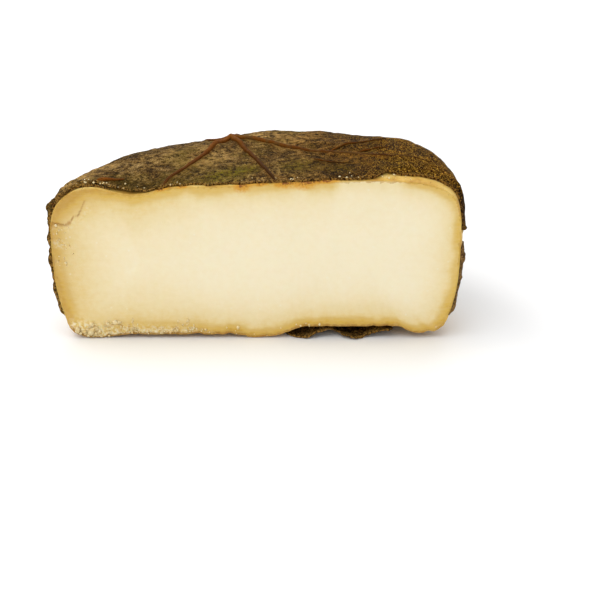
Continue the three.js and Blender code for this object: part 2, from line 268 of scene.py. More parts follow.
def new_piece(name, points, faces, node=None, slot=None, sharp=None, **attributes):
    """A mesh object on the root, from points in millimetres and attributes with a value for each point."""
    mesh = bpy.data.meshes.new(name)
    mesh.from_pydata(to_frame(points).tolist(), [], [tuple(face) for face in faces])
    for key, values in attributes.items():
        values = np.asarray(values, float)
        kind = "FLOAT_VECTOR" if values.ndim == 2 else "FLOAT"
        field = "vector" if values.ndim == 2 else "value"
        mesh.attributes.new(key, kind, "POINT").data.foreach_set(field, values.ravel())
    mesh.shade_smooth()
    if sharp:
        mesh.set_sharp_from_angle(angle=math.radians(sharp))
    piece = bpy.data.objects.new(name, mesh)
    bpy.context.scene.collection.objects.link(piece)
    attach(piece, "root")
    if node:
        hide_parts(node)
    return piece


def grid_faces(rows, columns, closed=False, start=0):
    """Quads of a grid of points, numbered row by row. closed joins the last column to the first."""
    across = columns if closed else columns - 1
    row, column = np.meshgrid(np.arange(rows - 1), np.arange(across), indexing="ij")
    a = start + row * columns + column
    d = start + row * columns + (column + 1) % columns
    return np.stack([a, a + columns, d + columns, d], axis=-1).reshape(-1, 4).tolist()


# Leaves

def leaf_reach(lobes, angle):
    power = 6
    total = 0.0
    for at, length, width in lobes:
        off = angle - math.radians(at)
        off = np.arctan2(np.sin(off), np.cos(off))
        total = total + (length * np.exp(-((off / math.radians(width)) ** 2) / 2)) ** power
    return total ** (1 / power)


def overlaps(phi):
    return sum(bump(phi - at, OVERLAP_HALF) for at in OVERLAP_AT)


def crumple(s, phi):
    u, v = s * np.cos(phi), s * np.sin(phi)
    wave = np.sin(u / 9.5 + 1.3 * np.sin(v / 17)) * np.sin(v / 8.3 + 0.9 * np.sin(u / 13))
    pleat = smooth(60, 100, s) * np.sin(13 * phi + 0.8 * np.sin(s / 11))
    return CRUMPLE * (0.5 + 0.25 * wave + 0.25 * pleat)


def creases(place, s):
    """Small folds of a dried leaf, deeper over the shoulder, in millimetres."""
    folds = 1 - 2 * np.abs(noise(place * [1, 1, 0.7], 6.5, 3.1))
    fine = 1 - 2 * np.abs(noise(place, 2.6, 9.4))
    strength = 0.20 + 0.24 * smooth(66, 92, s)
    return strength * (folds + 0.5 * fine)


def vein_path(spec, vein, step=1.0):
    """Flat points along a main vein, with a slight wander."""
    direction, length, bend, _ = vein
    share = np.linspace(0, 1, max(4, int(length / step)))
    angle = spec["heading"] + np.radians(direction + bend * share ** 2)
    wander = 0.9 * smooth(0, 0.15, share) * noise(in_space(share * length), 13, direction)
    at, to = spec["junction"]
    u = at + share * length * np.cos(angle) - wander * np.sin(angle)
    v = to + share * length * np.sin(angle) + wander * np.cos(angle)
    return np.stack([u, v], -1)


def side_veins(spec):
    """Flat points of the finer veins that leave each main vein on alternate sides."""
    random = np.random.default_rng(SEED + len(spec["name"]))
    paths = []
    for vein in spec["veins"]:
        main = vein_path(spec, vein)
        for i, at in enumerate(np.arange(9, vein[1] * 0.9, 7.5)):
            here = main[int(at)]
            along = main[min(int(at) + 2, len(main) - 1)] - main[max(int(at) - 2, 0)]
            turn = (1 if i % 2 else -1) * math.radians(random.uniform(42, 58))
            angle = math.atan2(along[1], along[0]) + turn
            length = random.uniform(14, 26) * (1 - 0.45 * at / vein[1])
            share = np.linspace(0, 1, 14)[:, None]
            bent = angle - 0.5 * turn * share
            paths.append(here + share * length * join([np.cos(bent), np.sin(bent)], 1))
    return paths


def bare_share(x):
    """0 where the leaves reach the cut and 1 over the bare right shoulder."""
    return smooth(BARE_FROM_X - 13, BARE_FROM_X + 4, x)


def behind_edge(place):
    """How far a place on the skin lies behind the leaves' edge at the cut."""
    bare = bare_share(place[..., 0])
    bare = bare * smooth(BARE_ABOVE_Z - 3, BARE_ABOVE_Z + 3, place[..., 2])
    return place[..., 1] - BARE_DEPTH * bare


def loose(s, phi):
    """Gap between the skin and the first leaf, which closes towards the cut."""
    place = skin(s, phi)
    hug = HUG + (1 - HUG) * smooth(0, HUG_DEPTH, behind_edge(place))
    return hug * (GAP + crumple(s, phi) + creases(place, s))


def top_beneath(s, phi):
    """Number of leaves under the top leaf. At the bare shoulder it drops to the rind."""
    place = skin(s, phi)
    drops = smooth(42, 52, place[..., 0]) * (1 - smooth(0, 5, behind_edge(place)))
    return smooth(*TOP_LIFTS, s) * (1 + overlaps(phi)) * (1 - drops)


def leaf_height(spec, u, v):
    """Height of the leaf's inner face above the skin."""
    s, phi = spec["spread"](u, v)
    return loose(s, phi) + LEAF_STEP * spec["beneath"](s, phi)


def place_on_wheel(spec):
    return lambda u, v, height: above(spec["spread"], u, v, leaf_height(spec, u, v) + height)


def spots(points, places):
    """1 in the middle of each given place on the top, fading outwards."""
    x, y, z = points.T
    return smooth(55, 66, z) * sum(np.exp(-((x - at) ** 2 + (y - to) ** 2) / r ** 2) for at, to, r in places)


def leaf_shell(spec, place):
    """Both faces of a leaf with a ragged edge, and the values that its material reads."""
    rays, rings = spec["rays"], spec["rings"]
    angle = np.arange(rays) * 2 * math.pi / rays
    world = angle + spec["heading"]
    reach = leaf_reach(spec["lobes"], angle)
    tip = in_space(reach * np.cos(world), reach * np.sin(world))
    reach = reach + EDGE_WANDER * layered(tip, 7, 3, 2.2)
    natural = reach
    for limit in spec["limits"]:
        reach = np.minimum(reach, limit(spec["junction"], world))
    share = (np.arange(1, rings + 1) / rings) ** 0.9
    t = share[:, None] * reach
    at, to = spec["junction"]
    u = join([[at], (at + t * np.cos(world)).ravel()])
    v = join([[to], (to + t * np.sin(world)).ravel()])
    inner_gap = join([[reach.min()], (reach - t).ravel()])
    margin_gap = join([[natural.min()], (natural - t).ravel()])

    flat = np.stack([u, v], -1)
    main = np.full(len(u), 1e9)
    for vein in spec["veins"]:
        away, along = distance_to_path(flat, vein_path(spec, vein, 4.0))
        main = np.minimum(main, away + 2.0 * smooth(0.8, 1, along))
    fine = np.full(len(u), 1e9)
    for path in side_veins(spec):
        away, along = distance_to_path(flat, path[::3])
        fine = np.minimum(fine, away + 1.2 * along)
    fine_line = np.exp(-(fine / FINE_RIDGE_HALF) ** 2)
    main_line = np.exp(-(main / MAIN_RIDGE_HALF) ** 2)
    relief = MAIN_RIDGE * main_line + FINE_RIDGE * fine_line + knot(spec, u, v)
    sheet = in_space(u, v)
    felt = FELT_RELIEF * layered(sheet, 1.9, 2, 5.0)
    rolled = np.clip(0.45 + 1.1 * layered(sheet, 4.2, 2, 1.7), 0, 1)
    roll = spec["edge_roll"] * np.exp(-inner_gap / ROLL_HALF) * rolled
    at_margin = np.exp(-margin_gap / MARGIN)
    tucked = spec["tucked"] * at_margin
    outer = place(u, v, LEAF_THICKNESS * (1 - MARGIN_THINNING * at_margin) + relief + felt + roll - tucked)
    inner = place(u, v, -tucked)
    away = flat - spec["junction"]
    far = np.linalg.norm(away, axis=1)
    fanned = join([FAN_RADIUS * unit(away), 0.1 * far[:, None]], -1)
    vein = np.maximum(0.8 * np.exp(-(main / 1.6) ** 2), fine_line)
    values = {"flat": sheet, "fanned": fanned, "vein": vein}
    for key, places in (("moss", MOSS), ("dry", DRY), ("dark", DARK)):
        values[key] = spots(outer, places)
    shoulder = smooth(68, 82, -outer[:, 0]) * smooth(46, 56, outer[:, 2]) * (1 - smooth(4, 40, outer[:, 1]))
    knobs = SHOULDER_KNOBS * shoulder * np.clip(layered(outer, 4.2, 2, 3.3) + 0.1, 0, 1)
    outer = outer + unit(outer - [0, 0, BELLY_HEIGHT]) * knobs[:, None]

    count = len(u)
    fan = [(0, 1 + ray, 1 + (ray + 1) % rays) for ray in range(rays)]
    top = fan + grid_faces(rings, rays, True, 1)
    bottom = [tuple(index + count for index in face[::-1]) for face in top]
    last = 1 + (rings - 1) * rays
    edge = [(last + i, last + (i + 1) % rays) for i in range(rays)]
    rim = [(after, before, before + count, after + count) for before, after in edge]
    values = {key: join([value, value]) for key, value in values.items()}
    values["edge"] = join([np.exp(-inner_gap / 0.8), np.ones(count)])
    return join([outer, inner]), top + bottom + rim, values


def room_left(spec, path):
    """How far inside the leaf's edge each point of a flat path lies."""
    away = path - spec["junction"]
    world = np.arctan2(away[:, 1], away[:, 0])
    reach = leaf_reach(spec["lobes"], world - spec["heading"])
    for limit in spec["limits"]:
        reach = np.minimum(reach, limit(spec["junction"], world))
    return reach - np.linalg.norm(away, axis=1)


def knot(spec, u, v):
    """Height of the hump where the main veins meet."""
    at, to = spec["junction"]
    return KNOT * np.exp(-((u - at) ** 2 + (v - to) ** 2) / KNOT_HALF ** 2)


def cord(spec, place, path, width, taper, sinks, pointed):
    """A raised vein: a round, tapering cord half sunk in the leaf, cut off where the leaf ends."""
    path = path[room_left(spec, path) > -0.3]
    along = join([[0], np.cumsum(np.linalg.norm(np.diff(path, axis=0), axis=1))])
    share = along / along[-1]
    half = width / 2 * (1 - taper * share)
    half = half * (1 + 0.10 * noise(in_space(along), 3.5, width))
    half = half * smooth(1.03, 0.94, share)
    if pointed:
        half = half * smooth(-0.05, 0.18, share)
    sides = CORD_SIDES
    around = np.arange(sides) * 2 * math.pi / sides
    step = np.gradient(path, axis=0)
    across = unit(np.stack([-step[:, 1], step[:, 0]], -1))
    offset = half[:, None] * np.cos(around)
    u = path[:, :1] + offset * across[:, :1]
    v = path[:, 1:] + offset * across[:, 1:]
    proud = LEAF_THICKNESS + MAIN_RIDGE + knot(spec, path[:, 0], path[:, 1])
    patchy = noise(in_space(along), 7.0, 4.4)
    sunk = CORD_SUNK - sinks * share * (1 + 0.5 * patchy)
    rise = proud[:, None] + half[:, None] * (sunk[:, None] + np.sin(around))
    middle = place(path[:, 0], path[:, 1], proud)
    ring = place(u, v, rise)
    points = join([ring.reshape(-1, 3), middle[:1], middle[-1:]])
    faces = grid_faces(len(path), sides, True)
    first, last = len(points) - 2, len(points) - 1
    end = (len(path) - 1) * sides
    faces += [(first, i, (i + 1) % sides) for i in range(sides)]
    faces += [(last, end + (i + 1) % sides, end + i) for i in range(sides)]
    values = join([np.repeat(share, sides), share[:1], share[-1:]])
    return points, faces, values


def bent_path(points, step=0.7):
    """A smooth flat line through a few points."""
    points = np.asarray(points, float)
    at = join([[0], np.cumsum(np.linalg.norm(np.diff(points, axis=0), axis=1))])
    count = int(at[-1] / step)
    fine = np.linspace(0, at[-1], count)
    straight = np.stack([np.interp(fine, at, points[:, i]) for i in (0, 1)], -1)
    window = np.hanning(9)
    padded = np.pad(straight, ((4, 4), (0, 0)), mode="edge")
    return np.stack([np.convolve(padded[:, i], window / window.sum(), "valid") for i in (0, 1)], -1)


def merge(parts):
    """Joins (points, faces, values) lists into one."""
    points, faces, values, start = [], [], [], 0
    for part_points, part_faces, part_values in parts:
        points.append(part_points)
        faces += [tuple(index + start for index in face) for face in part_faces]
        values.append(part_values)
        start += len(part_points)
    return join(points), faces, join(values)


def straight_cut(axis, at, set_back, wave, shift):
    """How far a ray runs in the flat leaf before it meets the knife, at a slightly uneven edge."""
    def limit(junction, world):
        toward = np.sin(world) if axis else np.cos(world)
        along = np.cos(world) if axis else np.sin(world)
        gap = at - junction[axis]
        with np.errstate(divide="ignore", invalid="ignore"):
            t = np.where(toward * gap > 0, gap / toward, 1e6)
        place = junction[1 - axis] + np.minimum(t, 500) * along
        ragged = wave * layered(in_space(place), 7.5, 4, shift) - set_back(place)
        return t + np.where(t < 1e5, ragged / np.maximum(np.abs(toward), 0.15), 0)
    return limit


def top_set_back(place):
    right = bare_share(place) * (1 - smooth(102, 110, place))
    left = np.exp(-((place + 71) / 7) ** 2)
    return SET_BACK + (BARE_DEPTH - SET_BACK) * right + 1.8 * left


def left_set_back(place):
    return 0.3 + 1.8 * smooth(12, 30, place)


def right_set_back(place):
    bare_from = BARE_ABOVE_Z - BELLY_HEIGHT
    return 0.3 + (BARE_DEPTH + HIDDEN_DEPTH) * smooth(bare_from - 4, bare_from + 6, place)


SIDE_LOBES = [(0, 66, 30), (44, 74, 28), (-44, 74, 28), (92, 66, 24), (-92, 66, 24), (180, 18, 70),
              (126, 36, 18), (-126, 36, 18)]
SIDE_VEINS = [(3, 40, 3, 2.6), (43, 50, 4, 2.2), (-43, 50, -4, 2.2), (74, 52, 16, 1.8), (-76, 50, -14, 1.8)]


def side_leaf(name, middle, junction, heading, cut=None, set_back=None, beneath=None, look="felt"):
    """A leaf laid round the side. cut is the angle of the end of the cut face that it reaches."""
    limits = []
    if cut is not None:
        limits.append(straight_cut(0, math.radians(cut - middle) * RADIUS, set_back, 0.5, 4.4))
    return {
        "name": name, "spread": round_side(middle), "junction": junction, "heading": math.radians(heading),
        "lobes": SIDE_LOBES, "veins": SIDE_VEINS, "look": look,
        "beneath": beneath or (lambda s, phi: 0 * s),
        "limits": limits, "edge_roll": 1.0, "tucked": 0.4, "rays": 420, "rings": 84,
        "cord_width": 0.75, "tones": [(0.8, 0.5), (0.7, 0.5), (0.7, 0.5), (0.6, 0.5), (0.6, 0.5)],
        "twigs": [], "fine_cords": True,
    }


TOP_LEAF = {
    "name": "leaf_top", "look": "felt", "spread": over_top,
    "junction": (-12, 64), "heading": math.radians(-72),
    "lobes": [(0, 128, 26), (41, 130, 26), (-44, 122, 26), (88, 92, 26), (-84, 108, 26),
              (140, 56, 30), (-138, 62, 30), (180, 40, 30)],
    "veins": [(-0.7, 100, 2.5, 3.0), (31, 98, 13, 2.8), (-44, 100, 8, 2.8),
              (150, 36, 0, 2.0), (-150, 36, 0, 2.0)],
    "twigs": [([(31, 31), (40, 36), (49, 38), (58, 41)], 1.2, 0.2, 1.0),
              ([(-68, 3), (-63, 5.5), (-56, 8.5)], 2.0, 0.8, 0.7),
              ([(44, 26), (52, 30), (60, 31)], 1.0, 0.3, 0.9),
              ([(24, 24), (33, 19), (42, 17)], 0.9, 0.0, 1.0)],
    "beneath": top_beneath,
    "limits": [straight_cut(1, 0, top_set_back, SET_BACK_WAVE, 8.8)],
    "edge_roll": 0.35, "tucked": 0.0,
    "rays": 760, "rings": 150, "cord_width": 0.92, "fine_cords": False,
    "tones": [(0, 0.35), (0.1, 1.2), (0.4, 0.35), (0.2, 0.6), (0.2, 0.6)],
}
SIDE_LEAVES = [
    side_leaf("leaf_left", 156, (4, -6), 98, 180, left_set_back),
    side_leaf("leaf_right", 22, (-6, -5), 82, 0, right_set_back, look="green"),
    side_leaf("leaf_back", 90, (3, -7), 88, beneath=lambda s, phi: overlaps(phi)),
]
UNDER_LEAF = {
    "name": "leaf_under", "junction": (50, 34), "heading": math.radians(222), "look": "felt",
    "lobes": [(0, 48, 28), (48, 44, 26), (-48, 30, 26), (100, 30, 26), (-100, 34, 26), (180, 16, 40)],
    "veins": [], "limits": [straight_cut(1, 0, lambda place: -1.5, 3.0, 6.1)],
    "edge_roll": 0.5, "tucked": 0.0, "rays": 300, "rings": 50,
}


def place_on_table(u, v, height):
    """The leaf under the wheel: folds that fill the room beneath the lifted side."""
    room = np.maximum(0, underside(u, np.maximum(v, 0)) - LEAF_THICKNESS - 2 * GAP)
    fold = 0.5 + 0.5 * np.sin(u / 4.1 + 0.7 * np.sin(v / 6))
    rise = room * (0.9 * fold + 0.12 * noise(in_space(u, v), 3, 2.0))
    return in_space(u, v, np.maximum(0, rise) + np.maximum(0, height))


# Cheese

def cheese_rows():
    """Lengths at which the skin is divided: finer at the shoulder and the foot, where it shows."""
    fine = [(0, 60, 1.0), (60, 100, 0.6), (100, 132, 1.2), (132, 165, 0.6), (165, FULL_LENGTH, 1.2)]
    return join([np.arange(low, high, step) for low, high, step in fine] + [[FULL_LENGTH]])


def crumbling(x, z):
    """Where the cut face is crumbly: along the foot on the left, and at the left rind below the crack."""
    foot = (1 - smooth(3.5, 9.5, z + 0.03 * (x + 80))) * (1 - smooth(-42, -14, x))
    rind = np.exp(-((x + 86) / 4.5) ** 2 - ((z - 45) / 9) ** 2)
    rind = rind * smooth(-0.3, 0.3, noise(in_space(x, 0, z), 4.0, 6.6))
    corner = np.exp(-((x + 80) / 7) ** 2 - ((z - 4) / 6) ** 2)
    return np.clip(foot + 0.8 * rind + 0.6 * corner, 0, 1)


def face_relief(x, z, rim):
    """How far the cut face lies behind the knife's plane, in millimetres."""
    place = in_space(x, 0, z)
    smear = 0.05 * noise(place * [1, 1, 0.25], 7, 1.1) + 0.03 * noise(place, 1.6, 6.0)
    crumbs = crumbling(x, z) * (0.75 * layered(place, 3.2, 4, 4.0) + 0.15)
    soft_edge = 0.45 * np.exp(-rim / 0.7)
    away, along = crack_distance(x, z)
    groove = 1 - smooth(0.25, 0.5, along)
    crack = (0.4 + 0.4 * groove) * np.exp(-(away / (0.26 + 0.55 * groove)) ** 2) * smooth(1.02, 0.85, along)
    flaky = flaky_edge(x, z) * (0.22 * layered(place, 3.4, 2, 2.0) - 0.08)
    return smear + crumbs + soft_edge + crack + flaky


def flaky_edge(x, z):
    """1 along the lower side of the crack, where the paste flakes."""
    below = distance_to_path(np.stack([x - 1.6, z + 1.8], -1), CRACK_PATH)[0]
    return np.exp(-(below / 1.8) ** 2)


def crack_distance(x, z):
    """Distance from the crack's jagged line, and the share of its length."""
    place = in_space(x, 0, z)
    jag = np.stack([layered(place, 4.5, 3, 1.3), layered(place, 4.5, 3, 8.2)], -1)
    return distance_to_path(np.stack([x, z], -1) + 1.5 * jag, CRACK_PATH)


def ripeness(x, z, rim):
    """0 in the pale middle of the paste and 1 at the golden rind."""
    left = smooth(5, 75, -x)
    low = smooth(5, 34, BELLY_HEIGHT - z)
    place = in_space(x, 0, z)
    uneven = 1 + 0.2 * noise(place, 11, 2.7)
    fade = (7.5 + 17.0 * left + 4.5 * low) * uneven
    band = 2.4 + 0.9 * left + 1.3 * low + 1.0 * layered(place, 7, 2, 4.2)
    pale = bump(x - 50, 18) * smooth(55, 65, z)
    golden = (0.30 + 0.08 * low) * (1 - 0.8 * pale) * (1 - smooth(band - 2.4, band + 2.4 + 2.0 * left, rim))
    shoulder = 0.12 * np.exp(-((x + 76) / 13) ** 2 - ((z - 66) / 9) ** 2)
    yellow = (0.55 + 0.07 * left - 0.25 * pale) * np.exp(-np.maximum(rim - band, 0) / fade)
    return np.clip(yellow + golden + shoulder, 0, 1)


def make_cheese():
    rows = cheese_rows()
    ends = np.array([0, 0.6, 1.3, 2.2, 3.4, 5, 7, 9.5, 12.5])
    step = math.pi - 2 * math.radians(ends[-1])
    middle = math.radians(ends[-1]) + step * np.linspace(0, 1, 90)[1:-1]
    columns = join([np.radians(ends), middle, math.pi - np.radians(ends[::-1])])
    s, phi = np.meshgrid(rows, columns, indexing="ij")
    points = skin(s, phi)
    lumps = layered(points, 5.0, 3, 0.6) * 0.22 + noise(points, 1.6, 5.1) * 0.08
    bare = smooth(132, 145, s)
    foot = bare * (1 - smooth(160, 170, s))
    under_leaf = (loose(s, phi) - 0.08) * (1 - bare)
    held = smooth(0, 3, rows)[:, None] * smooth(0, 3, FULL_LENGTH - rows)[:, None]
    rise = under_leaf + lumps * (0.3 * bare + 1.7 * foot) * held
    points = points + skin_normal(s, phi) * rise[..., None]
    points[..., 2] = np.where(s > 165, skin(s, phi)[..., 2], np.maximum(points[..., 2], 0))
    at_cut = (1 - smooth(0, 2.5, points[..., 1])) * smooth(150, 156, s)
    points[..., 2] += 0.9 * at_cut * np.clip(layered(points, 3.2, 2, 7.7) + 0.1, 0, 1)
    points[:, 0, 1] = points[:, -1, 1] = 0
    skin_count = s.size
    faces = [face[::-1] for face in grid_faces(len(rows), len(columns))]

    # The face's outline runs down the left side and back up the right
    index = np.arange(skin_count).reshape(s.shape)
    outline_index = join([index[:, -1], index[::-1, 0][1:-1]])
    outline = points.reshape(-1, 3)[outline_index]
    deepest = BELLY_HEIGHT - 0.5
    depth = join([np.arange(0.5, 9, 0.5), np.arange(9, 20, 1.1), np.linspace(20, deepest, 12)])
    # Rings keep an even distance from the near rind and shrink to the middle line, where both sides meet
    line = np.clip(outline[:, 0], -(RADIUS - BELLY_HEIGHT), RADIUS - BELLY_HEIGHT)
    inward = in_space(line, 0, BELLY_HEIGHT) - outline
    face_points = join([outline + inward * (d / deepest) for d in depth])
    face_rim = join([d * np.linalg.norm(inward, axis=1) / BELLY_HEIGHT for d in depth])
    x, z = face_points[:, 0], face_points[:, 2]
    face_points[:, 1] = np.maximum(face_relief(x, z, face_rim), -0.6)

    around = len(outline_index)
    first = skin_count + np.arange(around)
    seam = [outline_index, np.roll(outline_index, -1), np.roll(first, -1), first]
    faces += np.stack(seam, -1).tolist()
    faces += [(a, d, c, b) for a, b, c, d in grid_faces(len(depth), around, True, skin_count)]
    points = join([points.reshape(-1, 3), face_points])
    rim = join([np.zeros(skin_count), face_rim])

    on_face = join([np.zeros(skin_count), np.ones(len(face_points))])
    x, z = points[:, 0], points[:, 2]
    ripe = np.where(on_face > 0, ripeness(x, z, rim), 1.0)
    away, _ = crack_distance(x, z)
    burnt = sum(np.exp(-((x - at) / half) ** 2 - (rim / deep) ** 2) for at, half, deep in BURNT)
    values = {
        "ripe": ripe, "face": on_face, "rim": rim, "burnt": burnt * (z > 50),
        "crumbly": np.clip(crumbling(x, z) + 0.3 * flaky_edge(x, z), 0, 1) * on_face,
        # brown along the crack: partly the paste's own colour, partly painted shade in the groove
        "crack": np.exp(-(away / 0.45) ** 2) * on_face,
        # painted shade: the left rim of the cut face is darkened towards tan
        "painted_left_rim_shade": smooth(55, 84, -x) * np.exp(-rim / 6) * smooth(6, 24, z) * on_face,
        "foot": (1 - smooth(0.4, 1.3, rim)) * (1 - smooth(2, 7, z - underside(x, points[:, 1]))),
    }
    return new_piece("cheese_body", points, faces, "cheese", "paste", 48, **values)


# Materials

def srgb(red, green, blue):
    """A colour given as 0-255 sRGB, as linear values with alpha."""
    def linear(level):
        share = level / 255
        return share / 12.92 if share <= 0.04045 else ((share + 0.055) / 1.055) ** 2.4
    return (linear(red), linear(green), linear(blue), 1.0)


class Shader:
    """Short ways to add nodes to a material."""

    def __init__(self, name):
        self.material = bpy.data.materials.new(name)
        self.material.use_nodes = True
        self.nodes = self.material.node_tree.nodes
        self.links = self.material.node_tree.links
        self.surface = self.nodes["Principled BSDF"]

    def add(self, kind, inputs=None, **settings):
        node = self.nodes.new("ShaderNode" + kind)
        for key, value in settings.items():
            setattr(node, key, value)
        for key, value in (inputs or {}).items():
            self.put(node.inputs[key], value)
        return node

    def put(self, socket, value):
        if isinstance(value, bpy.types.NodeSocket):
            self.links.new(value, socket)
        else:
            socket.default_value = value

    def set(self, name, value):
        self.put(self.surface.inputs[name], value)

    def finish(self, colour, roughness, specular, normal):
        self.set("Base Color", colour)
        self.set("Roughness", roughness)
        self.set("Specular IOR Level", specular)
        self.set("Normal", normal)
        return self.material

    def attribute(self, name, output="Fac"):
        return self.add("Attribute", attribute_name=name).outputs[output]

    def millimetres(self):
        return self.stretch(self.add("TexCoord").outputs["Object"], (1000, 1000, 1000))

    def stretch(self, place, scale):
        return self.add("VectorMath", {0: place, 1: scale}, operation="MULTIPLY").outputs[0]

    def bend(self, place, scale, detail, reach):
        """A place that is moved about by a noise."""
        inputs = {"Vector": place, "Scale": scale, "Detail": detail}
        by = self.stretch(self.add("TexNoise", inputs).outputs["Color"], (reach, reach, reach))
        return self.add("VectorMath", {0: place, 1: by}, operation="ADD").outputs[0]

    def noise(self, place, scale, detail=3.0, rough=0.55, distortion=0.0):
        inputs = {"Vector": place, "Scale": scale, "Detail": detail, "Roughness": rough}
        return self.add("TexNoise", {**inputs, "Distortion": distortion}).outputs["Fac"]

    def cells(self, place, scale, feature="DISTANCE_TO_EDGE"):
        inputs = {"Vector": place, "Scale": scale}
        return self.add("TexVoronoi", inputs, feature=feature).outputs["Distance"]

    def ramp(self, value, *stops):
        node = self.add("ValToRGB", {"Fac": value})
        elements = node.color_ramp.elements
        while len(elements) < len(stops):
            elements.new(0.5)
        for element, (at, colour) in zip(elements, stops):
            element.position = at
            element.color = srgb(*colour)
        return node.outputs["Color"]

    def range(self, value, low, high, to_low=0.0, to_high=1.0):
        inputs = {"Value": value, "From Min": low, "From Max": high, "To Min": to_low, "To Max": to_high}
        return self.add("MapRange", inputs, clamp=True).outputs["Result"]

    def math(self, operation, a, b=0.0):
        return self.add("Math", {0: a, 1: b}, operation=operation).outputs[0]

    def times(self, a, b):
        return self.math("MULTIPLY", a, b)

    def mix(self, share, a, b, blend="MIX"):
        node = self.add("Mix", data_type="RGBA", blend_type=blend)
        self.put(node.inputs["Factor"], share)
        self.put(node.inputs[6], a)
        self.put(node.inputs[7], b)
        return node.outputs[2]

    def tint(self, base, where, share, colour):
        """The base with a share of a colour where the value is 1."""
        return self.mix(self.times(where, share), base, srgb(*colour))

    def patches(self, base, value, start, full, share, colour):
        """The base with a colour that grows to its share as the value goes from start to full."""
        return self.mix(self.range(value, start, full, 0, share), base, srgb(*colour))

    def bump(self, height, distance, strength=1.0, normal=None):
        inputs = {"Height": height, "Distance": distance, "Strength": strength}
        if normal is not None:
            inputs["Normal"] = normal
        return self.add("Bump", inputs).outputs["Normal"]


def paste_material():
    """Cream cut cheese that turns yellow towards its orange-yellow, spotted rind."""
    look = Shader("pecorino_paste")
    place = look.millimetres()
    uneven = look.range(look.noise(place, 0.35, 4), 0.3, 0.7, -0.05, 0.05)
    ripe = look.math("ADD", look.attribute("ripe"), uneven)
    cut = look.ramp(
        ripe, (0.00, (252, 239, 206)), (0.20, (248, 231, 189)), (0.36, (242, 222, 170)),
        (0.50, (236, 210, 144)), (0.70, (226, 192, 110)), (0.88, (223, 184, 82)), (0.98, (208, 162, 58)))
    grain = look.noise(look.stretch(place, (0.5, 1, 1.6)), 0.55, 5, 0.6)
    cut = look.patches(cut, grain, 0.40, 0.75, 0.12, (252, 243, 214))
    pale_spot = look.range(look.cells(place, 0.16, "F1"), 0.10, 0.02)
    cut = look.tint(cut, pale_spot, 0.35, (253, 248, 232))

    lumps = look.noise(place, 0.7, 4, 0.6)
    crumbly = look.attribute("crumbly")
    crumb = look.ramp(lumps, (0.36, (226, 188, 104)), (0.48, (246, 222, 152)), (0.62, (255, 244, 212)))
    cut = look.mix(look.times(crumbly, 0.95), cut, crumb)
    # brown along the crack: partly the paste's own colour, partly painted shade in the groove
    cut = look.tint(cut, look.attribute("crack"), 0.8, (180, 124, 52))
    # painted shade: the left rim of the face darkened towards tan
    cut = look.tint(cut, look.attribute("painted_left_rim_shade"), 0.5, (188, 146, 76))

    blotch = look.noise(place, 0.12, 5, 0.6)
    rind = look.ramp(blotch, (0.30, (176, 126, 46)), (0.48, (208, 166, 74)), (0.70, (226, 194, 112)))
    speck = look.noise(place, 0.9, 3, 0.6)
    rind = look.patches(rind, speck, 0.60, 0.72, 0.7, (104, 62, 26))
    wobble = look.range(look.noise(place, 0.45, 3), 0.3, 0.7, 0.15, 1.5)
    near_rind = look.times(look.math("LESS_THAN", look.attribute("rim"), wobble), 0.55)
    on_skin = look.math("MAXIMUM", look.math("SUBTRACT", 1.0, look.attribute("face")), near_rind)
    colour = look.mix(on_skin, cut, rind)
    burnt = look.times(look.attribute("burnt"), look.range(speck, 0.38, 0.60, 0.6, 1.25))
    colour = look.patches(colour, burnt, 0.10, 0.50, 0.85, (218, 154, 38))
    colour = look.patches(colour, burnt, 0.66, 0.95, 0.85, (124, 62, 18))
    foot = look.times(look.attribute("foot"), look.range(lumps, 0.66, 0.46))
    colour = look.tint(colour, foot, 0.7, (156, 106, 42))

    waxy = look.math("ADD", look.range(grain, 0.3, 0.7, 0.42, 0.58), look.times(on_skin, 0.2))
    look.set("Subsurface Weight", 0.15)
    look.set("Subsurface Radius", (1.0, 0.6, 0.25))
    look.set("Subsurface Scale", 0.0025)
    normal = look.bump(look.noise(place, 1.4, 5, 0.65), 0.00012, 0.5)
    lumpy = look.times(lumps, look.range(crumbly, 0, 1, 0.08, 1))
    return look.finish(colour, waxy, 0.35, look.bump(lumpy, 0.0006, 0.8, normal))


def contrast(look, colour, power, level, wanted):
    """A colour with stronger contrast round a level, which becomes the wanted colour."""
    level, wanted = srgb(*level), srgb(*wanted)
    scale = tuple(new / old ** power for new, old in zip(wanted[:3], level[:3]))
    raised = look.add("Gamma", {"Color": colour, "Gamma": power}).outputs["Color"]
    return look.mix(1.0, raised, (*scale, 1.0), "MULTIPLY")


# Scale and width of a leaf's creases
CREASES = [(0.16, 0.016), (0.42, 0.026)]


def crease_lines(look, place, scale, width):
    """Thin winding lines where a noise crosses its middle, broken up in places."""
    level = look.math("ABSOLUTE", look.math("SUBTRACT", look.noise(place, scale, 3, 0.55, 0.3), 0.5))
    broken = look.range(look.noise(place, scale * 0.8, 2), 0.48, 0.58)
    return look.times(look.range(level, width, 0.0), broken)


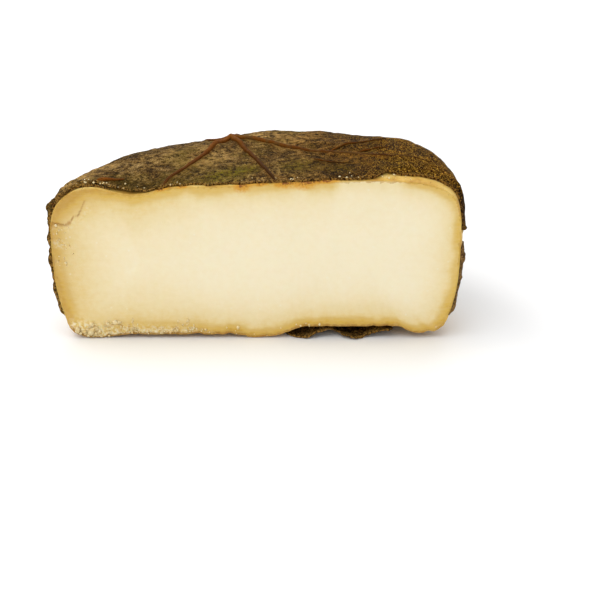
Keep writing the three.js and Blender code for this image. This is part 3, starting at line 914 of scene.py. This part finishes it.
def felt_material():
    """The leaf's matted underside: blotched brown felt, wrinkles darkened with painted shade, pale hairs,
    moss-green in places.
    """
    look = Shader("leaf_felt")
    place = look.millimetres()
    flat = look.attribute("flat", "Vector")
    blotch = look.noise(place, 0.085, 5, 0.62, 0.4)
    base = look.ramp(
        blotch, (0.35, (70, 46, 14)), (0.46, (114, 84, 38)), (0.56, (140, 110, 60)), (0.68, (166, 136, 86)))
    mottle = look.noise(place, 0.30, 5, 0.66)
    streak = look.noise(look.attribute("fanned", "Vector"), 1.1, 4, 0.6, 0.3)
    base = look.patches(base, streak, 0.50, 0.38, 0.6, (50, 32, 8))
    base = look.patches(base, streak, 0.55, 0.66, 0.35, (166, 134, 80))
    base = look.patches(base, mottle, 0.50, 0.40, 0.9, (44, 27, 6))
    base = look.patches(base, mottle, 0.54, 0.64, 0.65, (172, 140, 86))
    grain = look.noise(place, 1.3, 4, 0.7)
    base = look.patches(base, grain, 0.50, 0.41, 0.85, (40, 24, 6))
    base = look.patches(base, grain, 0.55, 0.64, 0.5, (178, 148, 96))
    dust = look.noise(place, 3.2, 3, 0.7)
    base = look.patches(base, dust, 0.49, 0.40, 0.75, (36, 22, 6))
    dark = look.times(look.attribute("dark"), look.range(mottle, 0.62, 0.44, 0.35, 1))
    base = look.tint(base, dark, 0.62, (46, 30, 8))
    dry = look.times(look.attribute("dry"), look.range(mottle, 0.38, 0.56))
    base = look.tint(base, dry, 0.7, (170, 136, 80))
    moss = look.times(look.attribute("moss"), look.range(grain, 0.46, 0.56, 0.1, 1))
    moss = look.times(moss, look.range(mottle, 0.40, 0.52, 0.2, 1))
    base = look.patches(base, moss, 0, 1, 0.85, (106, 96, 12))
    olive = look.range(look.noise(place, 0.05, 2, 0.5, 0.3), 0.5, 0.65, 0, 0.4)
    base = look.mix(olive, base, srgb(96, 80, 22))

    net = look.range(look.cells(look.bend(flat, 0.18, 3.0, 5), 0.38), 0.07, 0.0)
    base = look.tint(base, net, 0.28, (150, 116, 62))
    crease = look.math("MAXIMUM", *(crease_lines(look, place, *line) for line in CREASES))
    # painted shade: the creases are darkened in the colour; the same lines also dent the bump further down
    base = look.tint(base, crease, 0.85, (32, 20, 6))

    both_ways = [look.stretch(flat, (2.4, 0.7, 1)), look.stretch(flat, (0.7, 2.4, 1))]
    hairs = look.math("MAXIMUM", *(look.noise(way, 1.0, 3, 0.6, 2.6) for way in both_ways))
    apart = look.add("SeparateXYZ", {0: place})
    across, upward = apart.outputs[0], apart.outputs[2]
    base = look.patches(base, across, 10, 75, 0.42, (62, 38, 2))

    base = look.tint(base, look.attribute("vein"), 0.45, (112, 74, 32))
    closer = look.times(look.range(across, 10, 60, 0, 0.07), look.range(upward, 58, 70))
    hairs = look.math("ADD", hairs, look.math("SUBTRACT", closer, 0.03))
    haired = look.patches(base, hairs, 0.63, 0.70, 0.9, (214, 184, 120))
    near = contrast(look, base, 1.3, (98, 76, 43), (112, 86, 48))
    near = look.patches(near, hairs, 0.63, 0.70, 0.8, (182, 150, 92))
    right = contrast(look, haired, 2.0, (98, 78, 45), (73, 46, 9))
    on_right = look.times(look.range(across, 0, 60), look.range(upward, 40, 66, 0.2, 1))
    base = look.mix(on_right, near, right)
    edge = look.attribute("edge")
    base = look.tint(base, edge, 0.3, (66, 40, 12))
    frayed = look.times(edge, look.range(grain, 0.48, 0.56, 0, 0.85))
    base = look.mix(frayed, base, srgb(196, 148, 74))
    normal = look.bump(look.noise(place, 0.3, 4, 0.6), 0.0022, 0.9)
    normal = look.bump(mottle, 0.0022, 1.0, normal)
    normal = look.bump(streak, 0.0012, 0.8, normal)
    lines = look.math("SUBTRACT", look.times(net, 0.4), crease)
    normal = look.bump(lines, 0.0006, 0.9, normal)
    normal = look.bump(hairs, 0.00025, 0.5, normal)
    return look.finish(base, look.range(blotch, 0.3, 0.7, 0.55, 0.78), 0.03, normal)


def green_material():
    """The leaf's smoother upper side: olive green with a net of fine dark veins."""
    look = Shader("leaf_green")
    place = look.millimetres()
    flat = look.attribute("flat", "Vector")
    patch = look.noise(place, 0.06, 4, 0.6, 0.4)
    base = look.ramp(
        patch, (0.30, (74, 58, 26)), (0.46, (92, 76, 26)), (0.62, (112, 96, 36)), (0.75, (96, 88, 44)))
    tone = look.noise(place, 0.8, 5, 0.65)
    base = look.mix(look.range(tone, 0.35, 0.62, 0.55, 0), base, srgb(52, 36, 14))
    bent = look.bend(flat, 0.25, 2.0, 1)
    net = look.range(look.cells(bent, 0.26), 0.045, 0.01)
    fine_net = look.range(look.cells(bent, 0.75), 0.06, 0.01)
    lines = look.math("MAXIMUM", net, look.times(fine_net, 0.55))
    base = look.tint(base, lines, 0.6, (44, 26, 8))
    base = look.tint(base, look.attribute("vein"), 0.75, (70, 34, 12))
    edge = look.attribute("edge")
    frayed = look.times(edge, look.range(look.noise(place, 1.6, 4, 0.7), 0.42, 0.60))
    base = look.tint(base, edge, 0.6, (62, 38, 14))
    base = look.tint(base, frayed, 0.8, (160, 122, 68))
    normal = look.bump(look.noise(place, 0.6, 5, 0.6), 0.0006, 0.6)
    normal = look.bump(lines, 0.00025, 0.6, normal)
    return look.finish(base, look.range(tone, 0.3, 0.7, 0.7, 0.45), 0.15, normal)


def vein_material():
    """Round dried veins, dark at the tip and red-brown or golden along the way."""
    look = Shader("leaf_vein")
    place = look.millimetres()
    along = look.attribute("along")
    streak = look.noise(place, 0.35, 4, 0.6)
    dark = look.ramp(along, (0.0, (122, 70, 8)), (0.4, (88, 48, 0)), (0.9, (60, 33, 0)))
    gold = look.ramp(streak, (0.3, (116, 60, 10)), (0.7, (150, 88, 24)))
    gold = look.patches(gold, along, 0.3, 1, 0.5, (96, 60, 26))
    colour = look.mix(look.attribute("warm"), dark, gold)
    faded = look.times(look.attribute("faded"), look.range(streak, 0.44, 0.60))
    colour = look.mix(faded, colour, srgb(92, 66, 28))
    fine = look.noise(place, 1.6, 4, 0.6)
    colour = look.patches(colour, fine, 0.52, 0.34, 0.5, (40, 22, 10))
    return look.finish(colour, look.range(fine, 0.3, 0.7, 0.7, 0.5), 0.04, look.bump(fine, 0.0003, 0.6))


def crumb_material():
    look = Shader("cheese_crumb")
    place = look.millimetres()
    tone = look.noise(place, 0.5, 3)
    colour = look.ramp(tone, (0.3, (238, 204, 130)), (0.6, (252, 234, 184)), (0.8, (255, 248, 226)))
    normal = look.bump(look.noise(place, 2.0, 3), 0.0002, 0.6)
    return look.finish(colour, look.range(tone, 0.3, 0.7, 0.5, 0.75), 0.5, normal)


# Leaf pieces

def make_leaf(spec, place, materials):
    points, faces, values = leaf_shell(spec, place)
    piece = new_piece(spec["name"] + "_blade", points, faces, spec["name"], "leaf", 60, **values)
    piece.data.materials.append(materials[spec["look"]])
    if not spec["veins"]:
        return
    count = len(spec["veins"])
    lines = [(vein_path(spec, vein, 0.7), vein[3], 0.5, *tone)
             for vein, tone in zip(spec["veins"], spec["tones"])]
    lines += [(bent_path(path), width, 0.6, *tone) for path, width, *tone in spec["twigs"]]
    if spec["fine_cords"]:
        fine = [path for path in side_veins(spec) if np.all(room_left(spec, path) > 3)]
        lines += [(bent_path(path, 1.2), 0.9, 0.6, 0.6, 0.5) for path in fine]
    cords = [cord(spec, place, path, width * spec["cord_width"], taper, sinks, i >= count)
             for i, (path, width, taper, _, sinks) in enumerate(lines)]
    points, faces, along = merge(cords)
    counts = [len(made[0]) for made in cords]
    warm = np.repeat([line[3] for line in lines], counts)
    faded = np.repeat([max(0, line[4] - 0.4) for line in lines], counts)
    name = spec["name"] + "_veins"
    veins = new_piece(name, points, faces, slot="leaf", along=along, warm=warm, faded=faded)
    veins.data.materials.append(materials["vein"])


# Crumbs

def crumb_shape(random, size):
    """A lumpy grain: a rough ball of rings and two ends."""
    golden = math.pi * (3 - math.sqrt(5))
    rows, columns = 6, 8
    theta = np.linspace(0, math.pi, rows)[1:-1]
    ring = np.arange(columns) * 2 * math.pi / columns
    ball = [(0, 0, 1)]
    for t in theta:
        r, z = math.sin(t), math.cos(t)
        ball += [(r * math.cos(a), r * math.sin(a), z) for a in ring + golden * t]
    ball += [(0, 0, -1)]
    points = np.array(ball) * (1 + 0.16 * random.standard_normal((len(ball), 1)).clip(-1, 1))
    points = points * random.uniform(0.6, 1.2, 3) * size
    faces = [(0, 1 + i, 1 + (i + 1) % columns) for i in range(columns)]
    faces += grid_faces(len(theta), columns, True, 1)
    end = 1 + (len(theta) - 1) * columns
    faces += [(len(ball) - 1, end + (i + 1) % columns, end + i) for i in range(columns)]
    return points, faces


# Crumbs on the leaf by the cut: middle in x, spread, count
LEAF_CRUMBS = [(-36, 3, 7), (-66, 8, 9), (-69, 3.5, 14), (-2, 14, 6), (40, 2.5, 7), (62, 9, 9), (16, 5, 3)]
# Larger flakes pressed on the foot of the cut: x, z, count
FOOT_FLAKES = [(-74, 2.5, 4), (-71, 5.5, 3), (-66, 7.5, 2), (-61, 7.5, 3), (-80, 4, 3)]
FOOT_CRUMBS = 130
RIND_CRUMBS = 22


def make_crumbs(materials):
    """Grains of cheese on the leaf by the cut, on the crumbly foot and at the left rind."""
    random = np.random.default_rng(SEED + 5)
    made = []
    for _ in range(FOOT_CRUMBS):
        x = random.uniform(-80, -26) if random.random() < 0.85 else random.uniform(-26, 30)
        z = abs(random.normal(1.8, 2.4)) + 0.4 + underside(np.array(x), np.array(0.0))
        made.append(((x, random.uniform(-0.35, 0.3), z), random.uniform(0.25, 0.8)))
    for middle_x, middle_z, count in FOOT_FLAKES:
        for _ in range(count):
            x, z = random.normal(middle_x, 2.4), random.normal(middle_z, 0.7)
            made.append(((x, random.uniform(-0.2, 0.3), max(z, 1.0)), random.uniform(0.8, 1.5)))
    for _ in range(RIND_CRUMBS):
        z = random.uniform(34, 56)
        place = (-86.5 + random.exponential(2.0), random.uniform(-0.3, 0.2), z)
        made.append((place, random.uniform(0.2, 0.75)))
    for middle, spread, count in LEAF_CRUMBS:
        for _ in range(count):
            u = np.array([random.normal(middle, spread)])
            v = SET_BACK + random.exponential(1.2, 1)
            rise = leaf_height(TOP_LEAF, u, v) + LEAF_THICKNESS + 0.1
            made.append((tuple(above(over_top, u, v, rise)[0]), random.uniform(0.15, 0.5)))
    grains = []
    for place, size in made:
        points, faces = crumb_shape(random, size)
        grains.append((points + place, faces, np.zeros(len(points))))
    points, faces, _ = merge(grains)
    piece = new_piece("crumbs", points, faces, slot="paste")
    piece.data.materials.append(materials["crumb"])


# Stage

FLOOR_SIZE = 8
FLOOR_DROP = 0.0002
FLOOR_GREY = (0.95, 0.95, 0.95, 1)
WORLD_WHITE = (1.0, 1.0, 1.0, 1)
WORLD_STRENGTH = 0.66
# Square lights: name, place and side in metres, power in watts
LIGHTS = [
    ("softbox_front", (-0.7, -0.5, 2.0), 2.4, 20.0),
    ("softbox_back", (0.3, 1.9, 2.0), 2.4, 22.0),
    ("key", (-0.45, 0.15, 0.8), 0.35, 1.7),
]
LIGHTS_AIM_AT = (0, 0, 0.04)


def make_stage():
    bpy.ops.mesh.primitive_plane_add(size=FLOOR_SIZE, location=(0, 0, -FLOOR_DROP))
    floor = bpy.context.object
    floor.name = "floor"
    look = Shader("pale_floor")
    look.set("Base Color", FLOOR_GREY)
    look.set("Roughness", 0.6)
    look.set("Specular IOR Level", 0.2)
    floor.data.materials.append(look.material)

    world = bpy.data.worlds.new("studio")
    bpy.context.scene.world = world
    world.use_nodes = True
    background = world.node_tree.nodes["Background"]
    background.inputs["Color"].default_value = WORLD_WHITE
    background.inputs["Strength"].default_value = WORLD_STRENGTH
    for light in LIGHTS:
        add_light(*light)


def add_light(name, location, size, power):
    light = bpy.data.lights.new(name, "AREA")
    light.energy = power
    light.size = size
    lamp = bpy.data.objects.new(name, light)
    lamp.location = location
    aim = Vector(LIGHTS_AIM_AT) - Vector(location)
    lamp.rotation_euler = aim.to_track_quat("-Z", "Y").to_euler()
    bpy.context.scene.collection.objects.link(lamp)


# Camera, fitted to the photo: distances from the foot of the cut face's middle, in metres
CAMERA_RIGHT = 0.0198
CAMERA_BEFORE_CUT = 0.5629
CAMERA_HEIGHT = 0.2872
CAMERA_PITCH = 25.5
CAMERA_LENS = 84.0


def make_camera():
    camera = bpy.data.cameras.new("camera")
    camera.lens = CAMERA_LENS
    camera.sensor_width = 36
    eye = bpy.data.objects.new("camera", camera)
    eye.location = (CAMERA_RIGHT, -ORIGIN_BEHIND_CUT / 1000 - CAMERA_BEFORE_CUT, CAMERA_HEIGHT)
    eye.rotation_euler = (math.radians(90 - CAMERA_PITCH), 0, 0)
    bpy.context.scene.collection.objects.link(eye)
    bpy.context.scene.camera = eye


make_camera()
make_stage()
MATERIALS = {
    "felt": felt_material(), "green": green_material(), "vein": vein_material(), "crumb": crumb_material(),
}
cheese = make_cheese()
cheese.data.materials.append(paste_material())
for leaf in [TOP_LEAF, *SIDE_LEAVES]:
    make_leaf(leaf, place_on_wheel(leaf), MATERIALS)
make_leaf(UNDER_LEAF, place_on_table, MATERIALS)
make_crumbs(MATERIALS)
bpy.context.scene.view_settings.view_transform = "Standard"
